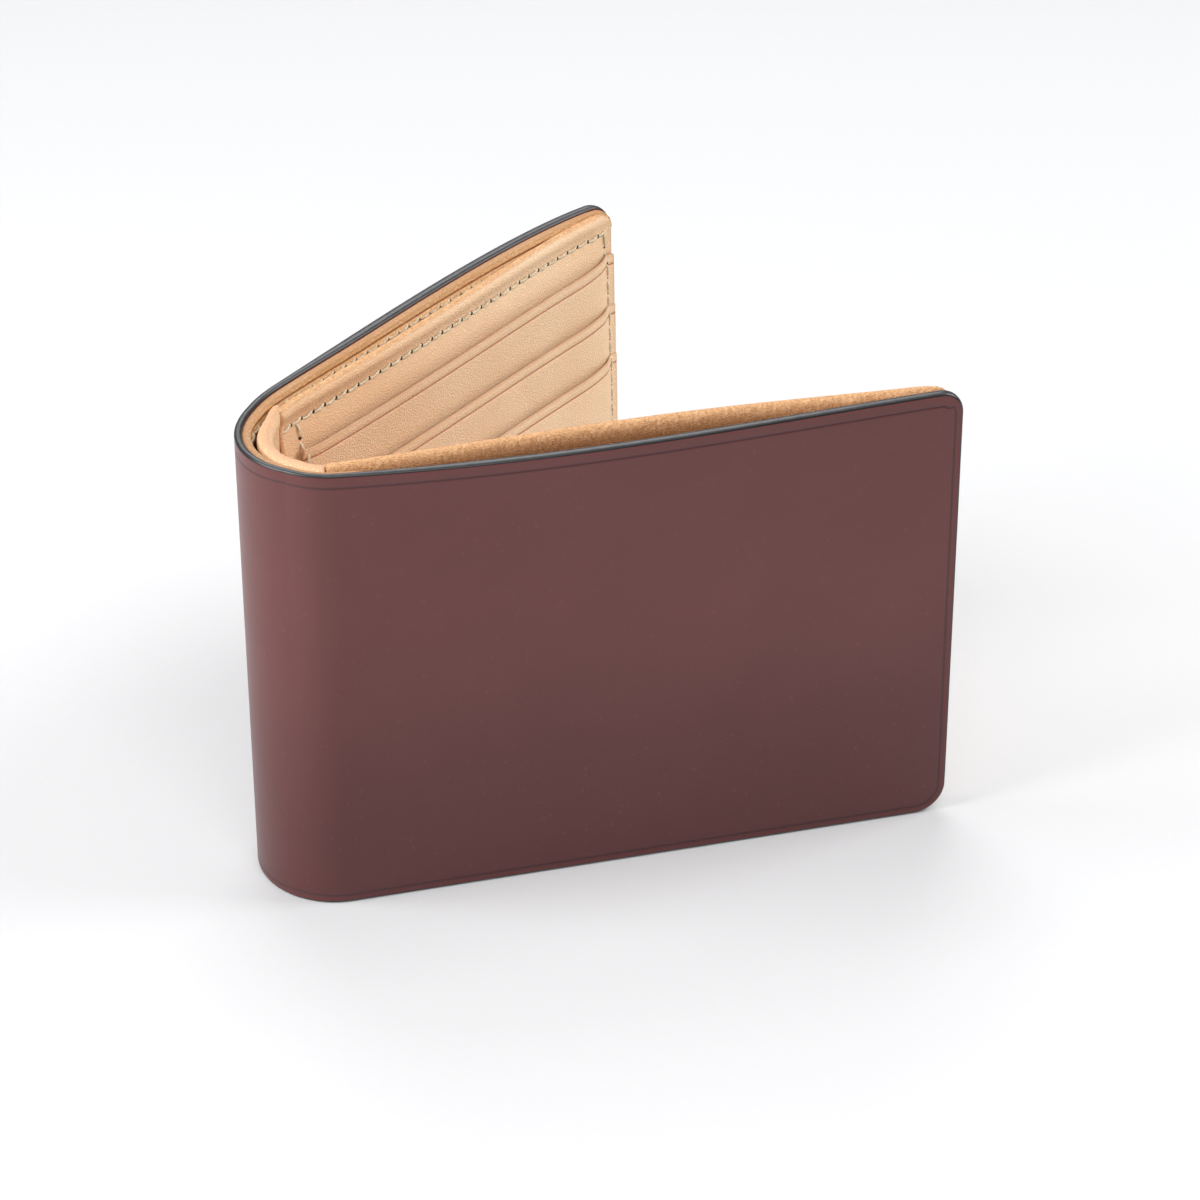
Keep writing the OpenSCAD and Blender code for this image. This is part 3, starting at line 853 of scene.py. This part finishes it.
# %% Stitch tree
def stitch_tree():
    tree = bpy.data.node_groups.new("saddle_stitch", "GeometryNodeTree")

    def socket(name, kind, value=None, way="INPUT"):
        made = tree.interface.new_socket(name, in_out=way, socket_type=f"NodeSocket{kind}")
        if value is not None:
            made.default_value = value

    socket("Geometry", "Geometry")
    for name, value in (("Pitch", 2.95), ("Thread Length", 2.4), ("Thread Radius", 0.24),
                        ("Arch", 0.28), ("Hole Radius", 0.42)):
        socket(name, "Float", value * MM)
    socket("Slant", "Float", 0.2)
    socket("Seed", "Int", 3)
    socket("Thread", "Material")
    socket("Hole", "Material")
    socket("Geometry", "Geometry", way="OUTPUT")
    given = tree.nodes.new("NodeGroupInput").outputs
    result = tree.nodes.new("NodeGroupOutput")

    def add(kind, settings=None, **values):
        return add_node(tree, kind, settings, **values).outputs

    def number(operation, a, b):
        return add("ShaderNodeMath", {"operation": operation}, _0=a, _1=b)[0]

    path = add("GeometryNodeMeshToCurve", Mesh=given["Geometry"])[0]
    steps = add("GeometryNodeCurveToPoints", {"mode": "LENGTH"}, Curve=path, Length=given["Pitch"])
    outward = add("GeometryNodeInputNamedAttribute", {"data_type": "FLOAT_VECTOR"}, Name="outward")[0]
    forward = add("FunctionNodeAlignRotationToVector", {"axis": "X"}, Vector=steps["Tangent"])[0]
    upright = add("FunctionNodeAlignRotationToVector", {"axis": "Z", "pivot_axis": "X"},
                  Rotation=forward, Vector=outward)[0]
    uneven = add("FunctionNodeRandomValue", {"data_type": "FLOAT"}, _2=-0.09, _3=0.09, Seed=given["Seed"])[1]
    turn = add("ShaderNodeCombineXYZ", Z=number("ADD", given["Slant"], uneven))[0]
    spin = add("FunctionNodeEulerToRotation", Euler=turn)[0]
    slanted = add("FunctionNodeRotateRotation", {"rotation_space": "LOCAL"}, Rotation=upright, _1=spin)[0]

    half = number("MULTIPLY", given["Thread Length"], 0.5)
    ends = [add("ShaderNodeCombineXYZ", X=number("MULTIPLY", half, way), Z=-0.1 * MM)[0]
            for way in (-1.0, 1.0)]
    peak = add("ShaderNodeCombineXYZ", Z=number("MULTIPLY", given["Arch"], 2.0))[0]
    arch = add("GeometryNodeCurveQuadraticBezier", Resolution=7, Start=ends[0], Middle=peak, End=ends[1])[0]
    ring = add("GeometryNodeCurvePrimitiveCircle", Resolution=8, Radius=given["Thread Radius"])[0]
    one_thread = add("GeometryNodeCurveToMesh", Curve=arch, Profile_Curve=ring, Fill_Caps=True)[0]
    threads = add("GeometryNodeInstanceOnPoints", Points=steps["Points"], Instance=one_thread,
                  Rotation=slanted)[0]
    pit = add("GeometryNodeMeshUVSphere", Segments=10, Rings=6, Radius=given["Hole Radius"])[0]
    flat = add("GeometryNodeTransform", Geometry=pit, Scale=(0.75, 0.9, 0.4))[0]
    shift = add("ShaderNodeVectorMath", {"operation": "SCALE"}, _0=steps["Tangent"],
                Scale=number("MULTIPLY", given["Pitch"], 0.5))[0]
    moved = add("GeometryNodeSetPosition", Geometry=steps["Points"], Offset=shift)[0]
    holes = add("GeometryNodeInstanceOnPoints", Points=moved, Instance=flat, Rotation=slanted)[0]
    join = tree.nodes.new("GeometryNodeJoinGeometry")
    for instances, key in ((holes, "Hole"), (threads, "Thread")):
        real = add("GeometryNodeRealizeInstances", Geometry=instances)[0]
        soft = add("GeometryNodeSetShadeSmooth", Geometry=real)[0]
        feed(tree, join.inputs[0], add("GeometryNodeSetMaterial", Geometry=soft, Material=given[key])[0])
    feed(tree, result.inputs[0], join.outputs[0])
    return tree


saddle_stitch = stitch_tree()
print("stitch tree:", len(saddle_stitch.nodes), "nodes")


# %% Sewing along a path
def sew(name, points, outward, seed, **sizes):
    """Real stitches along a chain of points; outward holds the directions off the leather."""
    mesh = bpy.data.meshes.new(name)
    mesh.from_pydata(np.asarray(points).tolist(), [(i, i + 1) for i in range(len(points) - 1)], [])
    attribute = mesh.attributes.new("outward", "FLOAT_VECTOR", "POINT")
    attribute.data.foreach_set("vector", np.asarray(outward, np.float32).ravel())
    guide = bpy.data.objects.new(f"{name}_path", mesh)
    bpy.context.scene.collection.objects.link(guide)
    modifier = guide.modifiers.new("stitches", "NODES")
    modifier.node_group = saddle_stitch
    values = {"Seed": seed, "Thread": thread_finish, "Hole": hole_shade_finish, **sizes}
    for item in saddle_stitch.interface.items_tree:
        if item.in_out == "INPUT" and item.name in values:
            modifier[item.identifier] = values[item.name]
    guide.update_tag()
    graph = bpy.context.evaluated_depsgraph_get()
    sewn = bpy.data.meshes.new_from_object(guide.evaluated_get(graph))
    guide.modifiers.remove(modifier)
    bpy.data.objects.remove(guide)
    if "outward" in sewn.attributes:
        sewn.attributes.remove(sewn.attributes["outward"])
    work = bmesh.new()
    work.from_mesh(sewn)
    bmesh.ops.recalc_face_normals(work, faces=work.faces)
    work.to_mesh(sewn)
    work.free()
    piece = bpy.data.objects.new(name, sewn)
    bpy.context.scene.collection.objects.link(piece)
    return piece


# %% [markdown]
# Each leaf has three rows: along the panel's top, down the free edge and down the spine end.
# The thread lies on the foremost sheet, so the path asks for the depth of that sheet at each
# point. Shrinkwrap would find it too, but the depths are already known. The thread leans the
# other way on the other leaf, as both are sewn from the spine outwards.

# %% Rows of stitches on the leaves
def surface(side, u, z):
    """Depth of the foremost skin of a leaf at u and z, with the thread just clear of it."""
    k = int(np.sum(np.array(mouths) > z + 0.2 * MM))
    thin = skived(side, u)
    if k == 0:
        groove = 0.14 * MM if abs(z - top_row) < 0.2 * MM else 0
        base = panel_plate[side][2] + panel_rear + panel_face * thin - groove + start_bend(side, u)
    else:
        face = panel_plate[side][3]
        base = face + (pocket_depths[k - 1][1] - face) * thin
    clear = 0.05 * MM
    return float(base + pocket_slack(k, z) * between_rows(side, u) - panel_lean(side, u, z)
                 - (1 - thin) * drawn_down + clear)


def leaf_row(name, side, corners, node, seed, **sizes):
    """Stitches along a straight stretch of a leaf, from one (u, z) corner to the other."""
    put = on_leaf(side)
    (u0, z0), (u1, z1) = corners
    steps = max(2, int(math.hypot(u1 - u0, z1 - z0) / (0.5 * MM)))
    points = []
    for t in np.linspace(0, 1, steps, endpoint=False):
        u, z = u0 + t * (u1 - u0), z0 + t * (z1 - z0)
        points.append(put(u, surface(side, u, z), z))
    inward = (sin_a, -side_sign[side] * cos_a, 0.0)
    piece = sew(name, points, [inward] * len(points), seed, **sizes)
    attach(piece, f"{side}_leaf")
    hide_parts(node)
    return piece


finer = {"Hole Radius": 0.28 * MM, "Thread Radius": 0.2 * MM}
row_top, row_foot = top_row - 1.4 * MM, 4 * MM
for seed, side in enumerate(leaf_start):
    u0, u1 = panel_plate[side][:2]
    slant = 0.2 * side_sign[side]
    start, at_edge, at_spine = u0 + 1.7 * MM - reach[side], u1 - edge_row_in, u0 + spine_row_in
    leaf_row(f"top_row_{side}", side, [(start, top_row), (at_edge, top_row)],
             f"top_stitch_{side}", 10 + seed, Slant=slant)
    leaf_row(f"edge_row_{side}", side, [(at_edge, row_top), (at_edge, row_foot)],
             f"edge_stitch_{side}", 20 + seed, Slant=slant * 0.4, **finer)
    leaf_row(f"spine_row_{side}", side, [(at_spine, row_top), (at_spine, row_foot)],
             f"spine_stitch_{side}", 30 + seed, Slant=slant * 0.4)
    print(side, "leaf: three rows sewn")

# %% [markdown]
# The facing is sewn down along its middle. Its row goes round the spine too, so there it is
# cut at the same places as the layers under it.

# %% Stitches of the facing
facing_row = facing_low + 1.8 * MM


def facing_stitches(name, s0, s1, seed):
    s = np.linspace(s0, s1, max(3, int((s1 - s0) / (0.4 * MM))))
    points = round_spine(s, np.full_like(s, facing_in + 0.06 * MM), np.full_like(s, facing_row))
    out = along(s)[1] - math.pi / 2
    outward = np.concatenate([toward(out), np.zeros((len(s), 1))], -1)
    return sew(name, points, outward, seed, Slant=0.12, **{"Hole Radius": 0.2 * MM})


for side, s0, s1, seed in (("front", -leaf_l["front"] + 4 * MM, -0.2 * MM, 45),
                           ("back", spine_l + 0.2 * MM, spine_l + leaf_l["back"] - 4 * MM, 44)):
    piece = facing_stitches(f"facing_row_{side}", s0, s1, seed)
    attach(piece, f"{side}_leaf")
    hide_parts(f"facing_stitch_{side}")
for k in range(bends):
    piece = facing_stitches(f"facing_row_bend_{k + 1}", k * bend_l + 0.1 * MM, (k + 1) * bend_l, 60 + k)
    turn_over_hinge(piece, k)
print("facing: two rows on the leaves and", bends, "round the spine")

# %% [markdown]
# The wallet stands on a plain pale floor in soft studio light, with a nearly dark surround.
# Six square soft lights stand round it: overhead, behind, two at the left, one at the right
# and one in front. One big light would be simpler, but it couldn't keep both the outside of
# the front leaf and the inside of the back leaf at their own brightness. The camera looks
# down on it through a long lens, so that upright edges stay nearly parallel.

# %% Floor and surround
scene = bpy.context.scene
scene.view_settings.view_transform = "Standard"
half_floor = 3
corners = [(x * half_floor, y * half_floor, 0) for x, y in ((-1, -1), (1, -1), (1, 1), (-1, 1))]
floor_mesh = bpy.data.meshes.new("floor")
floor_mesh.from_pydata(corners, [], [(0, 1, 2, 3)])
floor = bpy.data.objects.new("floor", floor_mesh)
scene.collection.objects.link(floor)
paper = Finish("floor_paper")
tooth = paper.noise(900, 2)
pale = paper.mix(tooth, (0.625, 0.628, 0.638), (0.64, 0.643, 0.653))
floor_mesh.materials.append(paper.finish(pale, 0.75 + tooth * 0.05, tooth, 0.02 * MM))

world = bpy.data.worlds.new("studio")
scene.world = world
world.use_nodes = True
surround = world.node_tree.nodes["Background"]
surround.inputs["Color"].default_value = (0.97, 0.98, 1.0, 1)
surround.inputs["Strength"].default_value = 0.08
print("floor:", 2 * half_floor, "m wide")

# %% Lights
middle_of_it = np.array([0.04, 0, 0.04])


def soft_light(name, turn, height, distance, size, power):
    """A square light at that compass turn and height, in degrees, aimed at the wallet."""
    turn, height = math.radians(turn), math.radians(height)
    out = np.array([math.cos(height) * math.cos(turn), math.cos(height) * math.sin(turn), math.sin(height)])
    data = bpy.data.lights.new(name, "AREA")
    data.shape, data.size, data.energy = "SQUARE", size, power
    light = bpy.data.objects.new(name, data)
    scene.collection.objects.link(light)
    light.location = middle_of_it + distance * out
    light.rotation_euler = Vector(-out).to_track_quat("-Z", "Y").to_euler()


for name, turn, height, distance, size, power in (("overhead", 0, 90, 0.96, 0.9, 1.3),
                                                  ("behind", 60, 50, 1.0, 0.7, 4.7),
                                                  ("left", 160, 35, 0.9, 0.6, 7.8),
                                                  ("low_left", 190, 16, 0.9, 0.9, 3.4),
                                                  ("right", -25, 35, 1.0, 0.6, 7.0),
                                                  ("front", -115, 45, 1.0, 0.6, 3.9)):
    soft_light(name, turn, height, distance, size, power)
    print("light:", name, power, "W")

# %% Camera
camera_data = bpy.data.cameras.new("camera")
camera_data.lens, camera_data.sensor_width = 112.59, 36
camera = bpy.data.objects.new("camera", camera_data)
scene.collection.objects.link(camera)
camera.location = (-0.2548, -0.4618, 0.3485)
camera.rotation_euler = (math.radians(60.457), 0, math.radians(-34.99))
camera.rotation_euler.rotate_axis("Z", math.radians(-0.18))
scene.camera = camera
print("camera lens, mm:", camera_data.lens)
